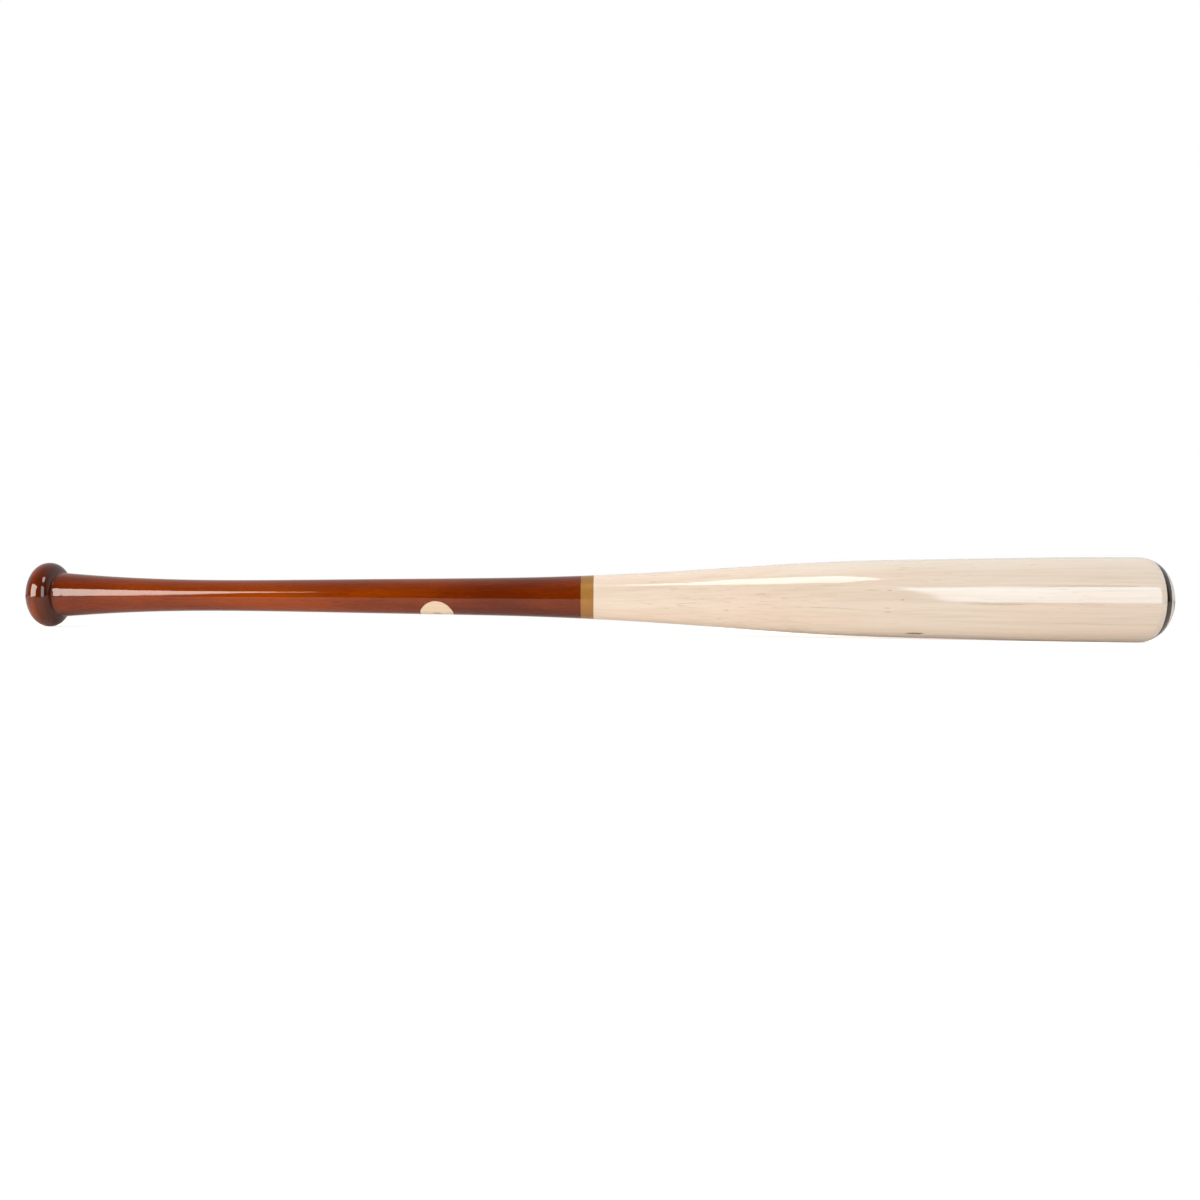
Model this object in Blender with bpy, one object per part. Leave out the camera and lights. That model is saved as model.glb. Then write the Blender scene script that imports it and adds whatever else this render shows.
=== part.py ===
"""Wooden baseball bat: one turned maple billet and the finish films that lie on it.

The bat's axis is the X axis, with the flat end of the knob at -X and the cupped barrel end at +X. The origin
is halfway along the axis. Stations are distances along the axis from the flat end of the knob.
All dimensions are in metres.
"""

import math

import bmesh
import bpy
import numpy as np

# Driving dimensions of the turned shape.
LENGTH = 0.8636
KNOB_FACE_RADIUS = 0.007
KNOB_RADIUS = 0.0243
KNOB_WIDEST = 0.0130
KNOB_BACK_LENGTH = 0.0091
KNOB_BACK_RADIUS = 0.0146
KNOB_FILLET = 0.0016
BARREL_RADIUS = 0.03245
NOSE_START = 0.8418
ROUNDING_POWER = 2.15
CUP_RADIUS = 0.0135
CUP_DEPTH = 0.019
CUP_FLOOR_RADIUS = 0.003

# The turner's calliper readings between the knob and the nose: station, diameter.
CALLIPERED = (
    (0.020, 0.0339),
    (0.045, 0.0300),
    (0.075, 0.0265),
    (0.110, 0.0242),
    (0.150, 0.0235),
    (0.200, 0.0244),
    (0.260, 0.0261),
    (0.330, 0.0280),
    (0.380, 0.0300),
    (0.430, 0.0337),
    (0.480, 0.0390),
    (0.530, 0.0458),
    (0.580, 0.0527),
    (0.630, 0.0575),
    (0.690, 0.0604),
    (0.760, 0.0634),
    (0.810, 0.0648),
    (NOSE_START, 2 * BARREL_RADIUS),
)

# Finish films: each has this thickness, and clears the wood and its neighbours by the gap.
FILM = 0.0003
GAP = 0.0003
REBATE = FILM + GAP
LIP_LAND = 0.0006
BAND_START = 0.4180
BAND_WIDTH = 0.0096
RING_START = 0.8495
RING_WIDTH = 0.0051

# The round spot left unstained on the handle, with an ink mark in its middle. Its direction is the angle
# round the axis, from -Y towards -Z.
SPOT_STATION = 0.309
SPOT_DIAMETER = 0.0254
SPOT_DIRECTION = math.radians(68)
INK_LENGTH = 0.0075
INK_WIDTH = 0.0014

# How finely the shapes are divided.
SIDES = 40
SPOT_SIDES = 32
INK_SIDES = 16
KNOB_FRONT_STEPS = 8
KNOB_BACK_STATIONS = (
    0.0155, 0.0175, 0.0189, 0.0201, 0.0209, 0.0214, 0.0217,
    0.0219, 0.0221, 0.0224, 0.0230, 0.0241, 0.0262, 0.0300,
)
SHARP_ANGLE = math.radians(35)
END_CLEARANCE = 0.0012
SLOPE_REACH = 0.00003
BODY_STEP = 0.028
NOSE_STEPS = 14
CUP_STEPS = 8
PLUG_INNER_RADIUS = 0.0115
PLUG_OUTER_RADIUS = 0.0180


def cubic_spline(knots, values):
    """The natural cubic spline through the values at the knots, as a function."""
    knots = np.array(knots)
    values = np.array(values)
    steps = np.diff(knots)
    slopes = np.diff(values) / steps
    system = np.eye(len(knots))
    change = np.zeros(len(knots))
    for i in range(1, len(knots) - 1):
        system[i, i - 1:i + 2] = steps[i - 1], 2 * (steps[i - 1] + steps[i]), steps[i]
        change[i] = 6 * (slopes[i] - slopes[i - 1])
    bends = np.linalg.solve(system, change)

    def value_at(x):
        i = int(np.clip(np.searchsorted(knots, x) - 1, 0, len(steps) - 1))
        after = x - knots[i]
        before = knots[i + 1] - x
        straight = (values[i] * before + values[i + 1] * after) / steps[i]
        bow = bends[i] * before * (before**2 - steps[i]**2) + bends[i + 1] * after * (after**2 - steps[i]**2)
        return float(straight + bow / (6 * steps[i]))

    return value_at


def rounding(fraction):
    """How far a rounded end still reaches, from 1 to 0, at this fraction of the way along it."""
    return (1 - min(abs(fraction), 1) ** ROUNDING_POWER) ** (1 / ROUNDING_POWER)


body_diameter = cubic_spline(*zip(*CALLIPERED))
KNOB_FRONT_LENGTH = KNOB_WIDEST / rounding(KNOB_FACE_RADIUS / KNOB_RADIUS)
NOSE_LENGTH = (LENGTH - NOSE_START) / rounding(CUP_RADIUS / BARREL_RADIUS)


def knob_radius(station):
    """Radius of the knob by itself, rounded over from its widest to its face and to its back."""
    beyond = station - KNOB_WIDEST
    if beyond > KNOB_BACK_LENGTH:
        return 0.0
    if beyond > 0:
        return KNOB_BACK_RADIUS + (KNOB_RADIUS - KNOB_BACK_RADIUS) * rounding(beyond / KNOB_BACK_LENGTH)
    return KNOB_RADIUS * rounding(beyond / KNOB_FRONT_LENGTH)


def finished_radius(station):
    """Radius of the finished bat: knob, filleted into the handle, barrel and rounded nose."""
    if station <= KNOB_WIDEST:
        return knob_radius(station)
    if station >= NOSE_START:
        return BARREL_RADIUS * rounding((station - NOSE_START) / NOSE_LENGTH)
    knob = knob_radius(station)
    body = body_diameter(station) / 2
    closeness = max(KNOB_FILLET - abs(knob - body), 0) / KNOB_FILLET
    return max(knob, body) + closeness**2 * KNOB_FILLET / 4


def nose_station(radius):
    """Where the rounded nose has come down to this radius."""
    return NOSE_START + NOSE_LENGTH * rounding(radius / BARREL_RADIUS)


def profile_stations():
    """Where the outline has its points: close together round the ends, far apart along the body."""
    body_start = KNOB_BACK_STATIONS[-1]
    knob_turns = np.linspace(0, math.pi / 2, KNOB_FRONT_STEPS + 1)
    nose_turns = np.linspace(0, math.pi / 2, NOSE_STEPS + 1)
    front = KNOB_WIDEST * (1 - np.cos(knob_turns))
    body = np.linspace(body_start, NOSE_START, round((NOSE_START - body_start) / BODY_STEP) + 1)
    nose = NOSE_START + (LENGTH - NOSE_START) * np.sin(nose_turns)
    return [*front, *KNOB_BACK_STATIONS, *body[1:-1], *nose]


def outline(start, end, depth):
    """Points (station, radius) from start to end, this deep under the finished surface."""
    between = [s for s in profile_stations() if start + END_CLEARANCE < s < end - END_CLEARANCE]
    points = []
    for station in [start, *between, end]:
        ahead = min(station + SLOPE_REACH, LENGTH)
        behind = max(station - SLOPE_REACH, 0)
        slope = (finished_radius(ahead) - finished_radius(behind)) / (ahead - behind)
        steepness = math.hypot(slope, 1)
        points.append((station + depth * slope / steepness, finished_radius(station) - depth / steepness))
    return points


def on_bat(station, radius, direction):
    """The point at a station and a radius, in a direction round the axis measured from -Y towards -Z."""
    return (station - LENGTH / 2, -radius * math.cos(direction), -radius * math.sin(direction))


def finish(mesh, name, material):
    """Close a bmesh into a smooth-shaded object that has this material."""
    bmesh.ops.recalc_face_normals(mesh, faces=mesh.faces)
    data = bpy.data.meshes.new(name)
    mesh.to_mesh(data)
    mesh.free()
    data.materials.append(material)
    data.shade_smooth()
    data.set_sharp_from_angle(angle=SHARP_ANGLE)
    part = bpy.data.objects.new(name, data)
    bpy.context.scene.collection.objects.link(part)
    return part


def turned(name, points, material, ring):
    """A solid of revolution. With ring, the outline closes on itself; without, flat discs close both ends."""
    mesh = bmesh.new()
    rings = []
    for station, radius in points:
        directions = [2 * math.pi * i / SIDES for i in range(SIDES)]
        rings.append([mesh.verts.new(on_bat(station, radius, direction)) for direction in directions])
    follows = rings[1:] + ([rings[0]] if ring else [])
    for first, second in zip(rings, follows):
        for i in range(SIDES):
            j = (i + 1) % SIDES
            mesh.faces.new((first[i], first[j], second[j], second[i]))
    if not ring:
        mesh.faces.new(rings[0])
        mesh.faces.new(rings[-1])
    return finish(mesh, name, material)


def film(name, start, end, material, ring=True):
    """A finish film on the bat from start to end, with half the gap left at each end."""
    start = start + GAP / 2 if ring else start
    end = end - GAP / 2
    points = outline(start, end, 0) + outline(start, end, FILM)[::-1]
    return turned(name, points, material, ring)


def spot_plug(name, length, width, sides):
    """A plug with an oval outline drawn on the handle's surface, running in towards the axis."""
    handle_radius = finished_radius(SPOT_STATION)
    mesh = bmesh.new()
    loops = []
    for radius in (PLUG_INNER_RADIUS, PLUG_OUTER_RADIUS):
        loop = []
        for i in range(sides):
            turn = 2 * math.pi * i / sides
            along = SPOT_STATION + length / 2 * math.cos(turn)
            round_axis = SPOT_DIRECTION + width / 2 * math.sin(turn) / handle_radius
            loop.append(mesh.verts.new(on_bat(along, radius, round_axis)))
        middle = mesh.verts.new(on_bat(SPOT_STATION, radius, SPOT_DIRECTION))
        for i in range(sides):
            mesh.faces.new((middle, loop[i], loop[(i + 1) % sides]))
        loops.append(loop)
    inner, outer = loops
    for i in range(sides):
        j = (i + 1) % sides
        mesh.faces.new((inner[i], inner[j], outer[j]))
        mesh.faces.new((inner[i], outer[j], outer[i]))
    plug = finish(mesh, name, bpy.data.materials.new(name))
    plug.hide_render = True
    plug.display_type = "WIRE"
    return plug


def cut(part, plug, operation):
    modifier = part.modifiers.new(plug.name, "BOOLEAN")
    modifier.operation = operation
    modifier.solver = "EXACT"
    modifier.object = plug


def painted(name, color, roughness, metallic=0.0, coat=0.0):
    material = bpy.data.materials.new(name)
    material.use_nodes = True
    shader = material.node_tree.nodes["Principled BSDF"]
    shader.inputs["Base Color"].default_value = (*color, 1)
    shader.inputs["Roughness"].default_value = roughness
    shader.inputs["Metallic"].default_value = metallic
    shader.inputs["Coat Weight"].default_value = coat
    return material


def make_billet():
    """The maple billet, turned down under the films, with a proud lip round the bare cup."""
    land_end = nose_station(CUP_RADIUS + LIP_LAND)
    points = outline(0, land_end, REBATE)
    points.append((nose_station(CUP_RADIUS + LIP_LAND / 2), CUP_RADIUS + LIP_LAND / 2))
    floor_turn = math.asin(CUP_FLOOR_RADIUS / CUP_RADIUS)
    for turn in np.linspace(math.pi / 2, floor_turn, CUP_STEPS + 1):
        depth = CUP_DEPTH * math.cos(turn) / math.cos(floor_turn)
        points.append((LENGTH - depth, CUP_RADIUS * math.sin(turn)))
    turned("maple_billet", points, painted("maple", (0.72, 0.53, 0.34), 0.55), ring=False)


def make_handle_finish():
    """The brown film over the knob and handle, and the clear spot in it with its ink mark."""
    brown = painted("brown_lacquer", (0.20, 0.035, 0.010), 0.12, coat=1.0)
    handle = film("handle_coat", 0, BAND_START, brown, ring=False)
    cut(handle, spot_plug("spot_hole", SPOT_DIAMETER, SPOT_DIAMETER, SPOT_SIDES), "DIFFERENCE")

    patch_start = SPOT_STATION - SPOT_DIAMETER
    patch_end = SPOT_STATION + SPOT_DIAMETER
    clear = painted("spot_lacquer", (0.80, 0.60, 0.38), 0.12, coat=1.0)
    spot = film("spot_coat", patch_start, patch_end, clear)
    inside = SPOT_DIAMETER - 2 * GAP
    cut(spot, spot_plug("spot_outline", inside, inside, SPOT_SIDES), "INTERSECT")
    cut(spot, spot_plug("ink_hole", INK_LENGTH + 2 * GAP, INK_WIDTH + 2 * GAP, INK_SIDES), "DIFFERENCE")

    ink = film("ink_mark", patch_start, patch_end, painted("ink", (0.16, 0.13, 0.10), 0.3))
    cut(ink, spot_plug("ink_outline", INK_LENGTH, INK_WIDTH, INK_SIDES), "INTERSECT")


def make_barrel_finish():
    """The gold band, the clear film over the barrel, the dark ring and the clear film on the lip."""
    band_end = BAND_START + BAND_WIDTH
    ring_end = RING_START + RING_WIDTH
    lip = nose_station(CUP_RADIUS + LIP_LAND) + GAP / 2
    film("centre_band", BAND_START, band_end, painted("gold_paint", (0.46, 0.24, 0.06), 0.3, metallic=0.6))
    film("barrel_coat", band_end, RING_START, painted("clear_lacquer", (0.80, 0.65, 0.46), 0.12, coat=1.0))
    film("end_ring", RING_START, ring_end, painted("dark_paint", (0.035, 0.022, 0.015), 0.15, coat=1.0))
    film("lip_coat", ring_end, lip, painted("lip_lacquer", (0.80, 0.65, 0.46), 0.12, coat=1.0))


def main():
    for old in list(bpy.data.objects):
        bpy.data.objects.remove(old, do_unlink=True)
    make_billet()
    make_handle_finish()
    make_barrel_finish()


main()
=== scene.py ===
"""Looks of the wooden baseball bat: finely turned skins, with maple grain under gloss lacquer."""

import math

import bpy
import numpy as np
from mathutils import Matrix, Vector
from mathutils.bvhtree import BVHTree


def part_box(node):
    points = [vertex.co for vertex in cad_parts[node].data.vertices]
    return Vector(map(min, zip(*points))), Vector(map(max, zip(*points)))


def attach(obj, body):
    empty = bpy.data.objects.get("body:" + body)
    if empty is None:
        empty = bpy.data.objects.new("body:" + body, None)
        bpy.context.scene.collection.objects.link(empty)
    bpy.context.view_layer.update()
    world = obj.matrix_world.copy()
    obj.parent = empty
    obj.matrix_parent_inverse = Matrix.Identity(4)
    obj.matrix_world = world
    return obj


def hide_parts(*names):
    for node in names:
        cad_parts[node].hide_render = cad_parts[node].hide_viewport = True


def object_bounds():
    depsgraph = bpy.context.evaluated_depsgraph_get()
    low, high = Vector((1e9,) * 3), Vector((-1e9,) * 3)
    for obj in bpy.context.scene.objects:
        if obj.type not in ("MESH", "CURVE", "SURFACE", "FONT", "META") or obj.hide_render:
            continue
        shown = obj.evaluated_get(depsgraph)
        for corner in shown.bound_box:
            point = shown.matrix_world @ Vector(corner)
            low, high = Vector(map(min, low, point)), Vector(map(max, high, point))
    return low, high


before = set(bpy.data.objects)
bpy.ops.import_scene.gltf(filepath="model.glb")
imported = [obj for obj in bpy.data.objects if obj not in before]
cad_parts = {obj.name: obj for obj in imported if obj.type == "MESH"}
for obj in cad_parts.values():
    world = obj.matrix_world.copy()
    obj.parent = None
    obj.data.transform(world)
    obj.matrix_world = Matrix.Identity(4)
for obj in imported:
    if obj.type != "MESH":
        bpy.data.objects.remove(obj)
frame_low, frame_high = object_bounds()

# What the CAD model calls things. The billet carries the films, from the knob to the rim of the cup.
BILLET = "maple_billet"
FILMS = ("handle_coat", "centre_band", "barrel_coat", "end_ring", "lip_coat")
BODY = "root"

# Fineness of the turned skins, metres. The first and last END_SPAN of the outline take the close END_ROW.
SIDES = 160
BODY_ROW = 0.004
END_ROW = 0.0004
END_SPAN = 0.065
CURVE_STEP = 0.00005
SNAP = 0.00001
UPWARDS = Vector((0, 0, 1))

# The finish films. Each has two extra rows beside its rounded edges, and a hair's breadth to its neighbours.
FILM_THICKNESS = 0.00025
FILM_EDGE = 0.00004
FIRST_EDGE_ROW = 2 * FILM_EDGE
SECOND_EDGE_ROW = 6 * FILM_EDGE
SEAM = 0.00002

# The gap that the CAD model leaves between its films, and between a film and the wood.
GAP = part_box("centre_band")[0].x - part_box("handle_coat")[1].x
FILM_INSIDE_REACH = 1.25 * GAP

# A span of the outline this many times longer than its neighbour gets more points, at these shares of it.
LONG_SPAN = 4
SHARES_AFTER_SHORT = [0.12, 0.3]
SHARES_BEFORE_SHORT = [0.5, 0.8]

# The points of an outline on a flat end, the knob's face or the cup's floor, as shares of its radius.
FLAT_SHARES = (0, 0.3, 0.6)


# ---------------------------------------------------------------- the outline, read from the CAD model

def top_line(node):
    """Vertices of a CAD node that lie straight above the bat's axis."""
    return [v.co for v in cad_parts[node].data.vertices if abs(v.co.y) < SNAP and v.co.z > SNAP]


def sorted_points(vertices):
    """Their (x, height) without repeats, from the knob to the barrel."""
    return sorted({(round(v.x, 6), round(v.z, 6)) for v in vertices})


def tree_of(node):
    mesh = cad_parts[node].data
    return BVHTree.FromPolygons([v.co for v in mesh.vertices], [p.vertices for p in mesh.polygons])


def outside_points(film, wood):
    """Points of a film's top line with nothing of it above them, further from the wood than its inside is."""
    solid = tree_of(film)
    just_above = Vector((0, SNAP, 2 * SNAP))
    line = [v for v in top_line(film) if solid.ray_cast(v + just_above, UPWARDS)[0] is None]
    return [v for v in line if wood.find_nearest(v)[3] > FILM_INSIDE_REACH]


def finished_outline():
    """Points (x, radius) of the bat's outside from the axis at the knob to the rim of the cup."""
    wood = tree_of(BILLET)
    outside = [max(top_line(BILLET), key=lambda v: (v.x, v.z))]
    for film in FILMS:
        outside += outside_points(film, wood)
    points = sorted_points(outside)
    face_x, face_radius = points[0]
    face = [(face_x, face_radius * share) for share in FLAT_SHARES]
    return eased(face + points)


def steady_slopes(spans, slopes):
    """Slopes at a curve's points that keep it from overshooting, from its spans' lengths and slopes."""
    before, after = slopes[:-1], slopes[1:]
    first, second = spans[:-1, None], spans[1:, None]
    share = (first + 2 * second) / (3 * (first + second))
    same_way = before * after > 0
    blend = np.where(same_way, share * after + (1 - share) * before, 1)
    middle = np.where(same_way, before * after / blend, 0)
    return np.vstack([slopes[:1], middle, slopes[-1:]])


def eased(points):
    """The points with more of them in a long span beside a short one, where a spline would overshoot."""
    points = np.array(points, float)
    spans = np.linalg.norm(np.diff(points, axis=0), axis=1)
    slopes = np.diff(points, axis=0) / spans[:, None]
    ends = steady_slopes(spans, slopes)
    found = [points[0]]
    for k, span in enumerate(spans):
        shares = []
        if span > LONG_SPAN * spans[max(k - 1, 0)]:
            shares += SHARES_AFTER_SHORT
        if span > LONG_SPAN * spans[min(k + 1, len(spans) - 1)]:
            shares += SHARES_BEFORE_SHORT
        for share in shares:
            rest = 1 - share
            straight = points[k] + (points[k + 1] - points[k]) * share**2 * (3 - 2 * share)
            found.append(straight + span * share * rest * (rest * ends[k] - share * ends[k + 1]))
        found.append(points[k + 1])
    return [tuple(point) for point in found]


def cup_outline():
    """Points (x, radius) down the wall of the cup, from its rim to its floor."""
    rim_x, rim_radius = sorted_points(top_line(BILLET))[-1]
    middle_x = rim_x - 2 * rim_radius
    inside = [p for p in sorted_points(top_line(BILLET)) if p[0] > middle_x and p[1] <= rim_radius]
    return inside[::-1]


def smooth_curve(points, step):
    """The natural cubic spline through points in a plane, as (distances, points) about this step apart."""
    points = np.array(points, float)
    spans = np.linalg.norm(np.diff(points, axis=0), axis=1)
    knots = np.concatenate([[0], np.cumsum(spans)])
    slopes = np.diff(points, axis=0) / spans[:, None]
    system = np.eye(len(points))
    change = np.zeros_like(points)
    for i in range(1, len(points) - 1):
        system[i, i - 1:i + 2] = spans[i - 1], 2 * (spans[i - 1] + spans[i]), spans[i]
        change[i] = 6 * (slopes[i] - slopes[i - 1])
    bends = np.linalg.solve(system, change)
    distances = np.linspace(0, knots[-1], int(knots[-1] / step) + 1)
    i = np.clip(np.searchsorted(knots, distances) - 1, 0, len(spans) - 1)
    span = spans[i][:, None]
    after = (distances - knots[i])[:, None]
    before = span - after
    straight = (points[i] * before + points[i + 1] * after) / span
    bow = bends[i] * before * (before**2 - span**2) + bends[i + 1] * after * (after**2 - span**2)
    return distances, straight + bow / (6 * span)


# The outline as fine points (x, radius), how far along it each lies, and its direction there.
along, curve = smooth_curve(finished_outline(), CURVE_STEP)
curve[:, 0] = np.clip(curve[:, 0], frame_low.x, frame_high.x)
curve[:, 1] = np.clip(curve[:, 1], 0, frame_high.z)
tangents = np.gradient(curve, axis=0)
tangents /= np.linalg.norm(tangents, axis=1)[:, None]
OUTLINE_LENGTH = along[-1]


def outline_at(distance, depth=0.0):
    """The point (x, radius) this far along the outline from the knob's axis, and this deep under it."""
    x, radius = (np.interp(distance, along, curve[:, k]) for k in (0, 1))
    run, rise = (np.interp(distance, along, tangents[:, k]) for k in (0, 1))
    return x + depth * rise, max(radius - depth * run, 0.0)


def distance_at(x):
    """How far along the outline the bat reaches this x."""
    return float(np.interp(x, curve[:, 0], along))


def on_bat(x, radius, angle):
    """A point round the bat's axis. The angle turns from -Y towards -Z."""
    return (x, -radius * math.cos(angle), -radius * math.sin(angle))


# ---------------------------------------------------------------- meshes

def row_distances(start, end):
    """Distances along the outline for rows of a skin: close at the bat's ends and at the skin's own edges."""
    rows = [start, start + FIRST_EDGE_ROW, start + SECOND_EDGE_ROW]
    rows_end = [end - SECOND_EDGE_ROW, end - FIRST_EDGE_ROW, end]
    here = rows[-1]
    while True:
        near_end = here < END_SPAN or here > OUTLINE_LENGTH - END_SPAN
        here += END_ROW if near_end else BODY_ROW
        if here > rows_end[0] - END_ROW:
            return rows + rows_end
        rows.append(here)


def skin_mesh(rings, skip=None):
    """A mesh over rings of points round the axis, and where each ring's vertices start in it.

    A ring has a point for each side, or a single point on the axis. skip leaves out the faces of some cells.
    """
    vertices = []
    starts = []
    for ring in rings:
        starts.append(len(vertices))
        vertices += ring
    faces = []
    for k in range(len(rings) - 1):
        first, second = starts[k], starts[k + 1]
        for i in range(SIDES):
            j = (i + 1) % SIDES
            if len(rings[k]) == 1:
                faces.append((first, second + j, second + i))
            elif len(rings[k + 1]) == 1:
                faces.append((first + i, first + j, second))
            elif not (skip and skip(k, i)):
                faces.append((first + i, first + j, second + j, second + i))
    return vertices, faces, starts


def make_object(name, vertices, faces, material):
    data = bpy.data.meshes.new(name)
    data.from_pydata(vertices, [], faces)
    data.materials.append(material)
    data.shade_smooth()
    piece = bpy.data.objects.new(name, data)
    bpy.context.scene.collection.objects.link(piece)
    return piece


def thicken(piece):
    """Give a skin a film's thickness, inwards, and round its edges over."""
    film = piece.modifiers.new("film", "SOLIDIFY")
    film.thickness = FILM_THICKNESS
    film.offset = -1
    film.use_even_offset = True
    edge = piece.modifiers.new("rounded edge", "BEVEL")
    edge.width = FILM_EDGE
    edge.segments = 2
    edge.limit_method = "ANGLE"
    edge.angle_limit = math.radians(60)
    return piece


def ring_of(x, radius, turn=0.0):
    """A ring of points round the axis, or the one point on it."""
    if radius < SNAP:
        return [(x, 0.0, 0.0)]
    return [on_bat(x, radius, turn + 2 * math.pi * i / SIDES) for i in range(SIDES)]


def ring_at(distance, turn=0.0):
    x, radius = outline_at(distance)
    return ring_of(x, radius, turn)


def ends_of(node):
    """Where a film starts and ends along the outline, stretched to a hair's breadth from its neighbours."""
    low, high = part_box(node)
    start = distance_at(low.x - GAP / 2) + SEAM / 2
    end = distance_at(high.x + GAP / 2) - SEAM / 2
    return start, min(end, OUTLINE_LENGTH)


def turned_film(name, node, material):
    """A finish film turned all round the bat, in the place of a CAD film."""
    rows = row_distances(*ends_of(node))
    vertices, faces, _ = skin_mesh([ring_at(distance) for distance in rows])
    piece = thicken(make_object(name, vertices, faces, material))
    return place(piece, node)


def place(piece, node):
    """Let a piece ride on the bat, in the place of a CAD node and with its finish."""
    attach(piece, BODY)
    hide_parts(node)
    return piece


# ---------------------------------------------------------------- the round spot on the handle

spot_low, spot_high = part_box("spot_coat")
spot_vertices = [v.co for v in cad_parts["spot_coat"].data.vertices]
SPOT_X = (spot_low.x + spot_high.x) / 2
SPOT_RADIUS = (spot_high.x - spot_low.x) / 2 + GAP / 2
SPOT_ANGLE = math.atan2(-sum(v.z for v in spot_vertices), -sum(v.y for v in spot_vertices))
HANDLE_RADIUS = outline_at(distance_at(SPOT_X))[1]
ink_low, ink_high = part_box("ink_mark")
INK_HALF_LENGTH = (ink_high.x - ink_low.x) / 2
INK_HALF_WIDTH = 0.5 * (ink_high - ink_low).yz.length

# The part of the handle's film that is remade round the spot: its rows and columns of faces, how much wider
# than the spot it is, and the rings of faces in it, in the spot's film and in the ink.
WINDOW_ROWS = 18
WINDOW_COLUMNS = 64
WINDOW_MARGIN = 1.36
WINDOW_RINGS = 7
EDGE_RINGS = 2
SPOT_RINGS = 12
INK_RINGS = 8
INK_MIDDLE = 0.1


def on_handle(along_bat, round_bat):
    """The point on the handle at these distances, along and round it, from the middle of the spot."""
    x = SPOT_X + along_bat
    radius = outline_at(distance_at(x))[1]
    return on_bat(x, radius, SPOT_ANGLE + round_bat / HANDLE_RADIUS)


def oval(half_length, half_width, turn):
    return half_length * math.cos(turn), half_width * math.sin(turn)


def ring_patch(start_loop, end_loop, rings):
    """Rings of handle points blending from one closed loop of (along, round) to another, both included."""
    found = []
    for k in range(rings + 1):
        share = k / rings
        ring = []
        for start, end in zip(start_loop, end_loop):
            along_bat = start[0] + (end[0] - start[0]) * share
            round_bat = start[1] + (end[1] - start[1]) * share
            ring.append(on_handle(along_bat, round_bat))
        found.append(ring)
    return found


def window_border():
    """The (row, column) of each vertex round the window, with column 0 along the middle of the spot."""
    half = WINDOW_COLUMNS // 2
    corners = [(0, i) for i in range(-half, half)]
    corners += [(k, half) for k in range(WINDOW_ROWS)]
    corners += [(WINDOW_ROWS, i) for i in range(half, -half, -1)]
    corners += [(k, -half) for k in range(WINDOW_ROWS, 0, -1)]
    return corners


def fill_window(vertices, faces, border, loops):
    """Add faces inwards from the border's vertices over loops of points, which are added too."""
    outer = border
    for loop in loops:
        inner = list(range(len(vertices), len(vertices) + len(loop)))
        vertices += loop
        for i in range(len(outer)):
            j = (i + 1) % len(outer)
            faces.append((outer[i], outer[j], inner[j], inner[i]))
        outer = inner


def make_handle_film(material):
    """The brown film, closed over the knob's end, with a round hole for the spot."""
    reach = WINDOW_MARGIN * SPOT_RADIUS
    offsets = [reach * (2 * k / WINDOW_ROWS - 1) for k in range(WINDOW_ROWS + 1)]
    window = [distance_at(SPOT_X + offset) for offset in offsets]
    before = [d for d in row_distances(0.0, window[0]) if d < window[0] - 2 * END_ROW]
    film_end = ends_of("handle_coat")[1]
    after = [d for d in row_distances(window[-1], film_end) if d > window[-1] + 2 * END_ROW]
    rings = [ring_at(distance, turn=SPOT_ANGLE) for distance in before + window + after]
    first_row = len(before)

    def in_window(k, i):
        from_side = (i + WINDOW_COLUMNS // 2) % SIDES
        return first_row <= k < first_row + WINDOW_ROWS and from_side < WINDOW_COLUMNS

    vertices, faces, starts = skin_mesh(rings, skip=in_window)
    corners = window_border()
    border = [starts[first_row + k] + i % SIDES for k, i in corners]
    outside = [(offsets[k], i * 2 * math.pi / SIDES * HANDLE_RADIUS) for k, i in corners]
    hole = [oval(SPOT_RADIUS + SEAM / 2, SPOT_RADIUS + SEAM / 2, math.atan2(v, u)) for u, v in outside]
    wider = 1 + SECOND_EDGE_ROW / SPOT_RADIUS
    near_hole = [(u * wider, v * wider) for u, v in hole]
    loops = ring_patch(outside, near_hole, WINDOW_RINGS)[1:] + ring_patch(near_hole, hole, EDGE_RINGS)[1:]
    fill_window(vertices, faces, border, loops)
    piece = thicken(make_object("handle_film", vertices, faces, material))
    return place(piece, "handle_coat")


def spot_piece(name, node, loops, material, closed):
    """A patch of film on the handle over loops of points from the outside in, closed in the middle or not."""
    vertices = [point for loop in loops for point in loop]
    count = len(loops[0])
    faces = []
    for k in range(len(loops) - 1):
        for i in range(count):
            j = (i + 1) % count
            outer, inner = k * count, (k + 1) * count
            faces.append((outer + i, inner + i, inner + j, outer + j))
    if closed:
        last = (len(loops) - 1) * count
        middle = len(vertices)
        vertices.append(on_handle(0, 0))
        for i in range(count):
            faces.append((last + i, middle, last + (i + 1) % count))
    piece = thicken(make_object(name, vertices, faces, material))
    return place(piece, node)


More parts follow.
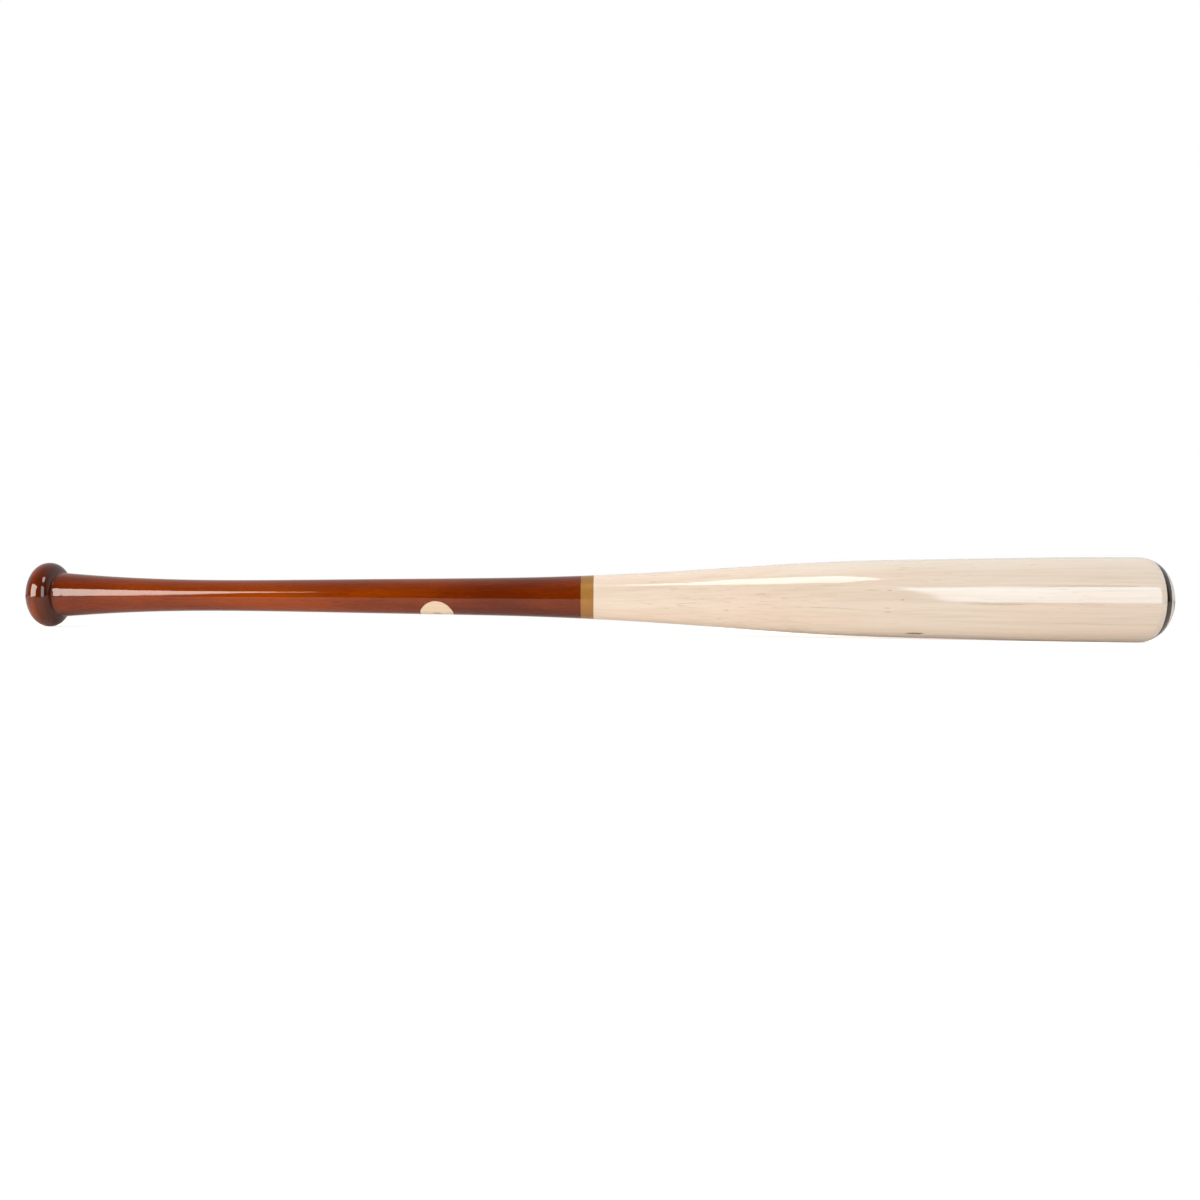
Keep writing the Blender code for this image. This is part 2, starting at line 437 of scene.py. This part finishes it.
def make_spot(clear, ink):
    turns = [2 * math.pi * i / SIDES for i in range(SIDES)]
    edge = SPOT_RADIUS - SEAM / 2
    outside = [oval(edge, edge, turn) for turn in turns]
    near_outside = [oval(edge - SECOND_EDGE_ROW, edge - SECOND_EDGE_ROW, turn) for turn in turns]
    round_ink = [oval(INK_HALF_LENGTH + SEAM, INK_HALF_WIDTH + SEAM, turn) for turn in turns]
    loops = ring_patch(outside, near_outside, EDGE_RINGS)
    loops += ring_patch(near_outside, round_ink, SPOT_RINGS)[1:]
    spot_piece("spot_film", "spot_coat", loops, clear, closed=False)
    ink_edge = [oval(INK_HALF_LENGTH, INK_HALF_WIDTH, turn) for turn in turns]
    middle = [oval(INK_HALF_LENGTH * INK_MIDDLE, INK_HALF_WIDTH * INK_MIDDLE, turn) for turn in turns]
    spot_piece("ink_dot", "ink_mark", ring_patch(ink_edge, middle, INK_RINGS), ink, closed=True)


# ---------------------------------------------------------------- the billet with its cup

# How far the wood lies under the films' outside.
HIDDEN_DEPTH = 0.00035

# The bare lip round the cup: its width, where points lie across it, and how the rim turns over into the cup.
LIP_WIDTH = 0.0006
LIP_SHARES = (0.1, 0.35, 0.6)
RIM_ROUND_LENGTH = 0.0004
RIM_ROUND_DEPTH = 0.00006

# The marks of the boring tool in the cup: fine rings that start a little below the rim, and a centre mark.
BOWL_STEP = 0.00022
TOOL_PITCH = 0.0011
TOOL_DEPTH = 0.00003
TOOL_START = 0.004
CENTRE_MARK_RADIUS = 0.0012
CENTRE_MARK_DEPTH = 0.0004


def hidden_outline(lip_start):
    """The wood under the films, in rows twice as far apart as theirs."""
    rows = row_distances(0, lip_start)
    return [outline_at(d, HIDDEN_DEPTH) for d in rows[:1] + rows[1:-1:2] + rows[-1:]]


def bare_outline(lip_start, rim_x, rim_radius):
    """The bare lip, the rim and the cup, with the tool's marks in it."""
    lip = [outline_at(lip_start + (OUTLINE_LENGTH - lip_start) * share) for share in LIP_SHARES]
    rim = [(rim_x - RIM_ROUND_LENGTH, rim_radius - RIM_ROUND_DEPTH)]
    wall = [p for p in cup_outline() if p[0] < rim_x - LIP_WIDTH / 2]
    floor_x, floor_radius = wall[-1]
    floor = [(floor_x, floor_radius * share) for share in reversed(FLAT_SHARES)]
    distances, bowl = smooth_curve(lip + rim + wall + floor, BOWL_STEP)
    down = np.gradient(bowl, axis=0)
    down /= np.linalg.norm(down, axis=1)[:, None]
    depth = TOOL_DEPTH * (1 - np.cos(2 * math.pi * distances / TOOL_PITCH))
    depth *= np.clip((distances - TOOL_START) / TOOL_START, 0, 1)
    depth += CENTRE_MARK_DEPTH * np.clip(1 - bowl[:, 1] / CENTRE_MARK_RADIUS, 0, 1)
    bowl = bowl + np.stack([down[:, 1], -down[:, 0]], axis=1) * depth[:, None]
    bowl[-1, 1] = 0
    return [(float(x), float(radius)) for x, radius in bowl]


def make_billet(material):
    """The wood: hidden under the films, and bare on the rim and in the cup."""
    rim_x, rim_radius = finished_outline()[-1]
    barrel_half = len(curve) // 2
    narrowing = -curve[barrel_half:, 1]
    lip_start = float(np.interp(-(rim_radius + LIP_WIDTH), narrowing, along[barrel_half:]))
    outline = hidden_outline(lip_start) + bare_outline(lip_start, rim_x, rim_radius)
    vertices, faces, _ = skin_mesh([ring_of(*point) for point in outline])
    return place(make_object("billet", vertices, faces, material), BILLET)


# ---------------------------------------------------------------- materials

class Nodes:
    """A short way to write node trees."""

    def __init__(self, tree):
        self.tree = tree

    def add(self, kind, inputs=None, **settings):
        """A node with these settings, whose inputs are numbers, colours or other nodes' outputs."""
        node = self.tree.nodes.new(kind)
        for key, value in settings.items():
            setattr(node, key, value)
        for key, value in (inputs or {}).items():
            if isinstance(value, bpy.types.NodeSocket):
                self.tree.links.new(value, node.inputs[key])
            else:
                node.inputs[key].default_value = value
        return node

    def math(self, operation, *values):
        return self.add("ShaderNodeMath", dict(enumerate(values)), operation=operation).outputs[0]

    def noise(self, vector, detail=2.0, roughness=0.5):
        inputs = {"Vector": vector, "Scale": 1.0, "Detail": detail, "Roughness": roughness}
        return self.add("ShaderNodeTexNoise", inputs).outputs["Fac"]

    def bump(self, height, strength, distance):
        return self.add("ShaderNodeBump", {"Strength": strength, "Distance": distance, "Height": height})

    def stretched(self, vector, x, y, z, shift=(0.0, 0.0, 0.0)):
        node = self.add("ShaderNodeMapping", {"Vector": vector, "Location": shift, "Scale": (x, y, z)})
        return node.outputs["Vector"]

    def between(self, value, low, high, to_low=0.0, to_high=1.0, smooth=True):
        """The value taken from the range low to high to another range, and held at its ends."""
        kind = "SMOOTHSTEP" if smooth else "LINEAR"
        node = self.add("ShaderNodeMapRange", interpolation_type=kind)
        for key, number in zip(("From Min", "From Max", "To Min", "To Max"), (low, high, to_low, to_high)):
            node.inputs[key].default_value = number
        self.tree.links.new(value, node.inputs["Value"])
        return node.outputs["Result"]

    def mix(self, share, first, second, blend="MIX"):
        node = self.tree.nodes.new("ShaderNodeMix")
        node.data_type = "RGBA"
        node.blend_type = blend
        for index, value in ((0, share), (6, first), (7, second)):
            if isinstance(value, bpy.types.NodeSocket):
                self.tree.links.new(value, node.inputs[index])
            elif index == 0:
                node.inputs[index].default_value = value
            else:
                node.inputs[index].default_value = (*value, 1)
        return node.outputs[2]


# Maple's two tints, the width of a growth ring, and how far from the bat's axis the tree's pith was.
PALE_MAPLE = (0.665, 0.572, 0.475)
PINK_MAPLE = (0.665, 0.546, 0.444)
GROWTH_RING = 0.0027
PITH_DISTANCE = 0.105

# Dark flecks and mineral streaks in the wood: x and direction (degrees from -Y towards -Z) of the middle,
# half length, half width and darkness.
STREAKS = (
    (0.2367, 61, 0.0085, 0.0016, 0.95),
    (0.2923, 7, 0.0300, 0.00045, 0.34),
    (0.3629, -18, 0.0400, 0.00050, 0.22),
    (0.3594, 34, 0.0360, 0.00045, 0.22),
    (0.1721, 15, 0.0190, 0.00050, 0.26),
    (0.2011, -12, 0.0080, 0.00060, 0.20),
    (0.2140, -12, 0.0025, 0.00050, 0.40),
    (0.2235, 2, 0.0022, 0.00045, 0.38),
    (0.2125, 14, 0.0030, 0.00045, 0.38),
    (0.2130, 20, 0.0040, 0.00060, 0.28),
    (0.0944, 24, 0.0030, 0.00045, 0.35),
    (0.0900, 45, 0.0030, 0.00050, 0.30),
    (0.1350, 150, 0.0260, 0.00050, 0.32),
    (0.3050, -110, 0.0220, 0.00055, 0.30),
    (0.2600, 205, 0.0070, 0.00065, 0.60),
)


def streaks(n, apart, ragged):
    """How dark the streaks make the wood here, from 0 to 1."""
    x, y, z = (apart.outputs[axis] for axis in "XYZ")
    angle = n.math("ARCTAN2", n.math("MULTIPLY", z, -1.0), n.math("MULTIPLY", y, -1.0))
    radius = n.math("SQRT", n.math("ADD", n.math("MULTIPLY", y, y), n.math("MULTIPLY", z, z)))
    total = None
    for middle, direction, half_length, half_width, darkness in STREAKS:
        turned = n.math("SUBTRACT", angle, math.radians(direction))
        wrapped = n.math("WRAP", turned, math.pi, -math.pi)
        across = n.math("DIVIDE", n.math("MULTIPLY", wrapped, radius), half_width)
        across = n.math("ADD", across, n.math("MULTIPLY", ragged, 1.6))
        along_it = n.math("DIVIDE", n.math("SUBTRACT", x, middle), half_length)
        away = n.math("ADD", n.math("MULTIPLY", across, across), n.math("MULTIPLY", along_it, along_it))
        dark = n.between(away, 1.0, 0.1, 0.0, darkness)
        total = dark if total is None else n.math("MAXIMUM", total, dark)
    return total


def maple_figure():
    """A node group with maple's figure: its colour, how dense the grain is, and how its fibres lie.

    The growth rings run round a pith beyond the bat, on the side away from the spot, so that the spot shows
    flat grain and the sides at right angles to it show the rings edge on.
    """
    group = bpy.data.node_groups.new("maple figure", "ShaderNodeTree")
    sockets = {"Color": "NodeSocketColor", "Grain": "NodeSocketFloat", "Fibre": "NodeSocketFloat"}
    for name, kind in sockets.items():
        group.interface.new_socket(name, in_out="OUTPUT", socket_type=kind)
    n = Nodes(group)
    in_wood = n.add("ShaderNodeTexCoord").outputs["Object"]
    apart = n.add("ShaderNodeSeparateXYZ", {"Vector": in_wood})

    # Growth rings: distance from a wavering pith line, with a thin darker line where each ring ends.
    sway = n.noise(n.stretched(in_wood, 3.5, 14, 14), detail=1)
    shift = n.math("ADD", n.math("MULTIPLY", sway, 0.010), n.math("MULTIPLY", apart.outputs["X"], 0.012))
    y = n.math("SUBTRACT", apart.outputs["Y"], PITH_DISTANCE * math.cos(SPOT_ANGLE))
    z = n.math("SUBTRACT", n.math("ADD", apart.outputs["Z"], shift), PITH_DISTANCE * math.sin(SPOT_ANGLE))
    distance = n.math("SQRT", n.math("ADD", n.math("MULTIPLY", y, y), n.math("MULTIPLY", z, z)))
    uneven = n.noise(n.stretched(in_wood, 0, 160, 160), detail=1)
    rings = n.math("ADD", n.math("DIVIDE", distance, GROWTH_RING), n.math("MULTIPLY", uneven, 1.6))
    in_ring = n.math("FRACT", rings)
    late = n.math("MULTIPLY", n.between(in_ring, 0.7, 0.97), n.between(in_ring, 1.0, 0.975))

    # Fibres at three widths, all drawn out along the bat, and short dark flecks that come in patches.
    fibre = n.noise(n.stretched(in_wood, 14, 560, 560), detail=3, roughness=0.6)
    fine = n.noise(n.stretched(in_wood, 55, 1900, 1900, (0, 5.0, 0)), detail=1)
    band = n.noise(n.stretched(in_wood, 4, 150, 150, (3.1, 0, 0)), detail=2)
    where_flecked = n.between(n.noise(n.stretched(in_wood, 6, 45, 45, (8.0, 0, 0)), detail=1), 0.45, 0.62)
    flecks = n.between(n.noise(n.stretched(in_wood, 60, 800, 800, (0, 0, 9.0)), detail=1), 0.64, 0.74)
    flecks = n.math("MULTIPLY", flecks, where_flecked)
    ragged = n.math("SUBTRACT", n.noise(n.stretched(in_wood, 260, 900, 900, (0, 3.0, 1.0)), detail=2), 0.5)

    grain = n.math("MULTIPLY", late, 0.35)
    grain = n.math("ADD", grain, n.between(fibre, 0.46, 0.74, 0, 0.75, smooth=False))
    grain = n.math("ADD", grain, n.between(fine, 0.5, 0.8, 0, 0.35, smooth=False))
    grain = n.math("ADD", grain, n.math("MULTIPLY", flecks, 1.3))
    shade = n.math("SUBTRACT", 1.0, n.math("MULTIPLY", grain, 0.10))
    shade = n.math("MULTIPLY", shade, n.between(band, 0.3, 0.7, 0.97, 1.02, smooth=False))
    unstreaked = n.math("SUBTRACT", 1.0, n.math("MULTIPLY", streaks(n, apart, ragged), 0.75))
    shade = n.math("MULTIPLY", shade, unstreaked)

    # Where the wood is darker it is browner too, because its blue falls off faster than its red.
    hue = n.between(n.noise(n.stretched(in_wood, 6, 45, 45, (0, 2.0, 4.0)), detail=1), 0.35, 0.65)
    color = n.mix(hue, PALE_MAPLE, PINK_MAPLE)
    green, blue = n.math("POWER", shade, 1.22), n.math("POWER", shade, 1.5)
    tone = n.add("ShaderNodeCombineXYZ", {0: shade, 1: green, 2: blue})
    color = n.mix(1.0, color, tone.outputs[0], "MULTIPLY")
    ends = n.add("NodeGroupOutput")
    group.links.new(color, ends.inputs["Color"])
    group.links.new(grain, ends.inputs["Grain"])
    group.links.new(fibre, ends.inputs["Fibre"])
    return group


figure = maple_figure()


def new_material(name):
    """A material's node helper and its shader."""
    material = bpy.data.materials.new(name)
    material.use_nodes = True
    return material, Nodes(material.node_tree), material.node_tree.nodes["Principled BSDF"]


# The lacquer, and the broad swell and fine ripple in its surface: how much each shows, and how high it is.
COAT_ROUGHNESS = 0.055
COAT_IOR = 1.5
SWELL_STRENGTH = 0.05
SWELL_HEIGHT = 0.0006
RIPPLE_STRENGTH = 0.09
RIPPLE_HEIGHT = 0.00008


def gloss(n, shader):
    """Clear lacquer over whatever is painted below: a sharp gloss that waves faintly with the grain."""
    shader.inputs["Coat Weight"].default_value = 1.0
    shader.inputs["Coat Roughness"].default_value = COAT_ROUGHNESS
    shader.inputs["Coat IOR"].default_value = COAT_IOR
    on_bat_here = n.add("ShaderNodeTexCoord").outputs["Object"]
    broad = n.noise(n.stretched(on_bat_here, 30, 330, 330), detail=1)
    narrow = n.noise(n.stretched(on_bat_here, 90, 1300, 1300), detail=2)
    swell = n.bump(broad, SWELL_STRENGTH, SWELL_HEIGHT)
    ripple = n.bump(narrow, RIPPLE_STRENGTH, RIPPLE_HEIGHT)
    n.tree.links.new(swell.outputs["Normal"], ripple.inputs["Normal"])
    n.tree.links.new(ripple.outputs["Normal"], shader.inputs["Coat Normal"])


def wood_under_lacquer(name, tint=(1.0, 1.0, 1.0)):
    """Clear-coated maple, tinted by its lacquer."""
    material, n, shader = new_material(name)
    maple = n.add("ShaderNodeGroup", node_tree=figure)
    color = n.mix(1.0, maple.outputs["Color"], tint, "MULTIPLY")
    n.tree.links.new(color, shader.inputs["Base Color"])
    rough = n.between(maple.outputs["Grain"], 0.0, 1.2, 0.42, 0.6, smooth=False)
    n.tree.links.new(rough, shader.inputs["Roughness"])
    shader.inputs["Diffuse Roughness"].default_value = 1.0
    shader.inputs["Specular IOR Level"].default_value = 0.0
    gloss(n, shader)
    return material


# The brown stain where it is thin, where it is deep, and on end grain. The end grain colour is also painted
# at the knob's back, as painted shade as well as stain.
STAIN_PALE = (0.215, 0.0325, 0.0001)
STAIN_DARK = (0.090, 0.0105, 0.0002)
STAIN_END_GRAIN = (0.050, 0.0065, 0.0005)

# Where the colour deepens along the bat: as stain towards the band, and towards the knob partly as stain and
# partly as painted shade, for the knob's end that gets less light from below. For each, the x where that
# starts, the x where it ends, and how much.
STAIN_AND_SHADE_DEEPENS = ((-0.16, -0.07, 0.5), (-0.33, -0.42, 0.4))

# Painted shade and stain at the knob's back: the colour turns nearly as dark as on end grain there, partly as
# painted shade by the crease and partly as stain, and pale again at the handle.
KNOB_BACK_SHADE_AND_STAIN = 0.75
KNOB_BACK_DARKENS = (frame_low.x + 0.0100, frame_low.x + 0.0150)
KNOB_BACK_ENDS = (frame_low.x + 0.0225, frame_low.x + 0.0212)


def brown_stain():
    """Translucent red-brown lacquer over the grain, darker where the wood is denser or cut across, with
    painted shade towards the knob and at the knob's back.
    """
    material, n, shader = new_material("brown lacquer")
    maple = n.add("ShaderNodeGroup", node_tree=figure)
    here = n.add("ShaderNodeTexCoord")
    cloud = n.noise(n.stretched(here.outputs["Object"], 9, 40, 40, (1.0, 7.0, 0)), detail=2)
    speckle = n.noise(n.stretched(here.outputs["Object"], 160, 1500, 1500, (0, 4.0, 2.0)), detail=2)
    soak_and_shade = n.math("MULTIPLY", maple.outputs["Grain"], 0.22)
    soak_and_shade = n.math("ADD", soak_and_shade, n.between(cloud, 0.3, 0.7, 0.0, 0.55))
    soak_and_shade = n.math("ADD", soak_and_shade, n.between(speckle, 0.45, 0.8, 0.0, 0.3, smooth=False))
    apart = n.add("ShaderNodeSeparateXYZ", {"Vector": here.outputs["Object"]})
    # Darker along the bat: stain towards the band, stain and painted shade towards the knob.
    for start, end, deeper in STAIN_AND_SHADE_DEEPENS:
        soak_and_shade = n.math("ADD", soak_and_shade, n.between(apart.outputs["X"], start, end, 0.0, deeper))
    color = n.mix(n.between(soak_and_shade, 0.1, 1.0, smooth=False), STAIN_PALE, STAIN_DARK)
    facing = n.add("ShaderNodeSeparateXYZ", {"Vector": here.outputs["Normal"]})
    cut_across = n.between(n.math("ABSOLUTE", facing.outputs["X"]), 0.2, 0.8)
    # The knob's back is painted darker: partly painted shade by the crease, partly stain.
    knob_back_shade_and_stain = n.between(apart.outputs["X"], *KNOB_BACK_DARKENS, 0.0, KNOB_BACK_SHADE_AND_STAIN)
    knob_back_shade_and_stain = n.math("MULTIPLY", knob_back_shade_and_stain, n.between(apart.outputs["X"], *KNOB_BACK_ENDS))
    color = n.mix(n.math("MAXIMUM", cut_across, knob_back_shade_and_stain), color, STAIN_END_GRAIN)
    n.tree.links.new(color, shader.inputs["Base Color"])
    rough = n.between(maple.outputs["Fibre"], 0.2, 0.8, 0.42, 0.6, smooth=False)
    n.tree.links.new(rough, shader.inputs["Roughness"])
    shader.inputs["Specular IOR Level"].default_value = 0.0
    gloss(n, shader)
    return material


def paint(name, color, other, metallic, grain_scale):
    """Brushed-on paint under lacquer, a little uneven round the bat."""
    material, n, shader = new_material(name)
    place_on_bat = n.add("ShaderNodeTexCoord").outputs["Object"]
    cover = n.noise(n.stretched(place_on_bat, grain_scale, grain_scale, grain_scale), detail=4, roughness=0.6)
    n.tree.links.new(n.mix(n.between(cover, 0.3, 0.7), color, other), shader.inputs["Base Color"])
    n.tree.links.new(n.between(cover, 0.3, 0.7, 0.32, 0.45), shader.inputs["Roughness"])
    shader.inputs["Metallic"].default_value = metallic
    shader.inputs["Specular IOR Level"].default_value = 0.0
    gloss(n, shader)
    return material


def bare_maple():
    """Sanded wood without lacquer, in the cup and on its rim."""
    material, n, shader = new_material("bare maple")
    maple = n.add("ShaderNodeGroup", node_tree=figure)
    place_on_bat = n.add("ShaderNodeTexCoord").outputs["Object"]
    speckle = n.noise(n.stretched(place_on_bat, 900, 1500, 1500), detail=3)
    tone = n.mix(n.between(speckle, 0.3, 0.7), (0.86, 0.80, 0.72), (1.0, 0.97, 0.92))
    color = n.mix(1.0, maple.outputs["Color"], tone, "MULTIPLY")
    n.tree.links.new(color, shader.inputs["Base Color"])
    n.tree.links.new(n.between(speckle, 0.3, 0.7, 0.6, 0.8), shader.inputs["Roughness"])
    sanded = n.bump(speckle, 0.25, 0.0003)
    n.tree.links.new(sanded.outputs["Normal"], shader.inputs["Normal"])
    return material


# The ink, and the share of its half length at which it starts to fade.
INK_COLOR = (0.12, 0.09, 0.068)
INK_TAPER_START = 0.6


def ink():
    """Faded ink, drawn out along the grain and paler at its ends."""
    material, n, shader = new_material("ink")
    maple = n.add("ShaderNodeGroup", node_tree=figure)
    place_on_bat = n.add("ShaderNodeTexCoord").outputs["Object"]
    bleed = n.noise(n.stretched(place_on_bat, 120, 1600, 1600), detail=3)
    apart = n.add("ShaderNodeSeparateXYZ", {"Vector": place_on_bat})
    off_middle = n.math("ABSOLUTE", n.math("SUBTRACT", apart.outputs["X"], SPOT_X))
    taper = n.between(off_middle, INK_HALF_LENGTH, INK_HALF_LENGTH * INK_TAPER_START)
    share = n.math("MULTIPLY", n.between(bleed, 0.25, 0.6, 0.6, 1.0), taper)
    n.tree.links.new(n.mix(share, maple.outputs["Color"], INK_COLOR), shader.inputs["Base Color"])
    n.tree.links.new(n.between(bleed, 0.3, 0.7, 0.4, 0.6), shader.inputs["Roughness"])
    gloss(n, shader)
    return material


# ---------------------------------------------------------------- the pieces

# Colours of the paints, each with a second one that it varies towards, and tints of the lacquers.
GOLD = (0.335, 0.16, 0.040)
DULL_GOLD = (0.295, 0.14, 0.034)
NEAR_BLACK = (0.032, 0.019, 0.013)
BLACK_BROWN = (0.024, 0.014, 0.010)
SPOT_TINT = (1.0, 0.95, 0.86)
LIP_TINT = (0.97, 0.96, 0.93)

make_billet(bare_maple())
make_handle_film(brown_stain())
make_spot(wood_under_lacquer("spot lacquer", SPOT_TINT), ink())
gold_paint = paint("gold paint", GOLD, DULL_GOLD, metallic=0.35, grain_scale=900)
turned_film("gold_band", "centre_band", gold_paint)
turned_film("barrel_film", "barrel_coat", wood_under_lacquer("barrel lacquer"))
dark_paint = paint("dark paint", NEAR_BLACK, BLACK_BROWN, metallic=0, grain_scale=500)
turned_film("dark_ring", "end_ring", dark_paint)
turned_film("lip_film", "lip_coat", wood_under_lacquer("lip lacquer", LIP_TINT))


# ---------------------------------------------------------------- stage, light and camera

# Corners of the lamps as seen from the bat's middle: azimuth from -Y towards +X and elevation, degrees.
LEFT_CORNERS = ((-33.2, -5), (-31.8, 10.4), (-31.2, 17.5), (-26.3, 23.9), (-37.3, 25.5), (-66, 21), (-66, -5))
RIGHT_CORNERS = ((22, -7.3), (21.3, 30.5), (33, 28.4), (52, 23), (52, -7))
TOP_CORNERS = ((-9, 60), (9, 48.7), (26, 45.9), (41, 52.5), (46.5, 64.4), (21, 71))

# The camera, level with the bat and square to it: metres, degrees, and millimetres for the lens and sensor.
CAMERA_DISTANCE = 0.8393
CAMERA_ASIDE = 0.0007
CAMERA_BELOW_AXIS = 0.0021
CAMERA_ROLL = 0.279
LENS = 33.0
SENSOR = 36.0

# The pale sheet that the bat lies on. It falls away at its far edge, and in front of the bat it rolls down.
SHEET_HALF_WIDTH = 4.0
SHEET_BACK = [(0.8, -0.3), (0.5, -0.05), (0.3, 0.0), (0.1, 0.0), (0.0, 0.0)]
ROLL_START = -0.045
ROLL_RADIUS = 1.0
ROLL_TURN = math.radians(66)
ROLL_STEPS = 48
ROLL_TAIL = 1.2
SHEET_COLOR = (0.885, 0.785, 0.69, 1)
SHEET_GLOW = 0.12
SHEET_GLOW_SEEN = 0.6

# The studio's brightness round the bat's axis, from straight in front (0) over the top (0.5) to behind (1).
STUDIO_STOPS = ((0.0, 0.02), (0.15, 0.03), (0.33, 0.14), (0.5, 0.45), (0.62, 0.64), (0.75, 0.7), (1.0, 0.66))


def lowest_point(part):
    """The x and height of the lowest point of part of the outline."""
    x, radius = part[part[:, 1].argmax()]
    return float(x), -float(radius)


def sheet_profile():
    """Points (y, drop) across the sheet, from behind the bat to in front of it."""
    profile = list(SHEET_BACK)
    for i in range(ROLL_STEPS + 1):
        turn = ROLL_TURN * i / ROLL_STEPS
        profile.append((ROLL_START - ROLL_RADIUS * math.sin(turn), ROLL_RADIUS * (math.cos(turn) - 1)))
    last_y, last_drop = profile[-1]
    profile.append((last_y - ROLL_TAIL * math.cos(ROLL_TURN), last_drop - ROLL_TAIL * math.sin(ROLL_TURN)))
    return profile


def make_sheet():
    """A pale sheet under the bat, tilted so that the knob and the barrel both touch it."""
    knob_x, knob_z = lowest_point(curve[:int(END_SPAN / CURVE_STEP)])
    barrel_x, barrel_z = lowest_point(curve[len(curve) // 2:])
    slope = (barrel_z - knob_z) / (barrel_x - knob_x)
    profile = sheet_profile()
    vertices = []
    for y, drop in profile:
        for x in (-SHEET_HALF_WIDTH, SHEET_HALF_WIDTH):
            vertices.append((x, y, knob_z + slope * (x - knob_x) + drop - SNAP))
    faces = [(2 * i, 2 * i + 2, 2 * i + 3, 2 * i + 1) for i in range(len(profile) - 1)]
    material, n, shader = new_material("pale sheet")
    shader.inputs["Base Color"].default_value = SHEET_COLOR
    shader.inputs["Emission Color"].default_value = (1, 1, 1, 1)
    seen = n.add("ShaderNodeLightPath").outputs["Is Camera Ray"]
    glow = n.between(seen, 0.0, 1.0, SHEET_GLOW, SHEET_GLOW_SEEN)
    n.tree.links.new(glow, shader.inputs["Emission Strength"])
    shader.inputs["Roughness"].default_value = 0.9
    shader.inputs["Specular IOR Level"].default_value = 0.1
    make_object("floor", vertices, faces, material)


def softbox(name, corners, distance, radiance, tint):
    """A flat lamp this far from the bat's middle, which lights the bat and isn't seen itself."""
    vertices = []
    for azimuth, elevation in corners:
        azimuth, elevation = math.radians(azimuth), math.radians(elevation)
        vertices.append((
            distance * math.sin(azimuth) * math.cos(elevation),
            -distance * math.cos(azimuth) * math.cos(elevation),
            distance * math.sin(elevation),
        ))
    material, _, shader = new_material(name)
    shader.inputs["Base Color"].default_value = (0, 0, 0, 1)
    shader.inputs["Emission Color"].default_value = (*tint, 1)
    shader.inputs["Emission Strength"].default_value = radiance
    lamp = make_object(name, vertices, [tuple(range(len(vertices)))], material)
    lamp.visible_camera = False


def make_world():
    """A studio that is dark in front of the bat and brightens overhead towards the white behind it."""
    world = bpy.data.worlds.new("studio")
    bpy.context.scene.world = world
    world.use_nodes = True
    n = Nodes(world.node_tree)
    background = world.node_tree.nodes["Background"]
    direction = n.add("ShaderNodeTexCoord").outputs["Generated"]
    apart = n.add("ShaderNodeSeparateXYZ", {"Vector": direction})
    forward = n.math("MULTIPLY", apart.outputs["Y"], -1.0)
    angle = n.math("ARCTAN2", apart.outputs["Z"], forward)
    share = n.math("DIVIDE", angle, math.pi)
    ramp = n.add("ShaderNodeValToRGB", {"Fac": share})
    for _ in STUDIO_STOPS[2:]:
        ramp.color_ramp.elements.new(0.5)
    for element, (position, level) in zip(ramp.color_ramp.elements, STUDIO_STOPS):
        element.position = position
        element.color = (level, level, level, 1)
    seen = n.add("ShaderNodeLightPath").outputs["Is Camera Ray"]
    color = n.mix(seen, ramp.outputs["Color"], (1.0, 1.0, 1.0))
    world.node_tree.links.new(color, background.inputs["Color"])
    background.inputs["Strength"].default_value = 1.0


def make_camera():
    data = bpy.data.cameras.new("camera")
    data.lens = LENS
    data.sensor_width = SENSOR
    camera = bpy.data.objects.new("camera", data)
    camera.location = (CAMERA_ASIDE, -CAMERA_DISTANCE, -CAMERA_BELOW_AXIS)
    camera.rotation_euler = (math.radians(90), math.radians(-CAMERA_ROLL), 0)
    bpy.context.scene.collection.objects.link(camera)
    bpy.context.scene.camera = camera


make_sheet()
make_world()
softbox("left_softbox", LEFT_CORNERS, distance=1.3, radiance=11.5, tint=(1.0, 0.91, 0.82))
softbox("right_softbox", RIGHT_CORNERS, distance=2.0, radiance=6.0, tint=(0.69, 0.86, 1.0))
softbox("top_softbox", TOP_CORNERS, distance=1.0, radiance=7.8, tint=(0.98, 0.98, 1.0))
make_camera()
bpy.context.scene.view_settings.view_transform = "Standard"
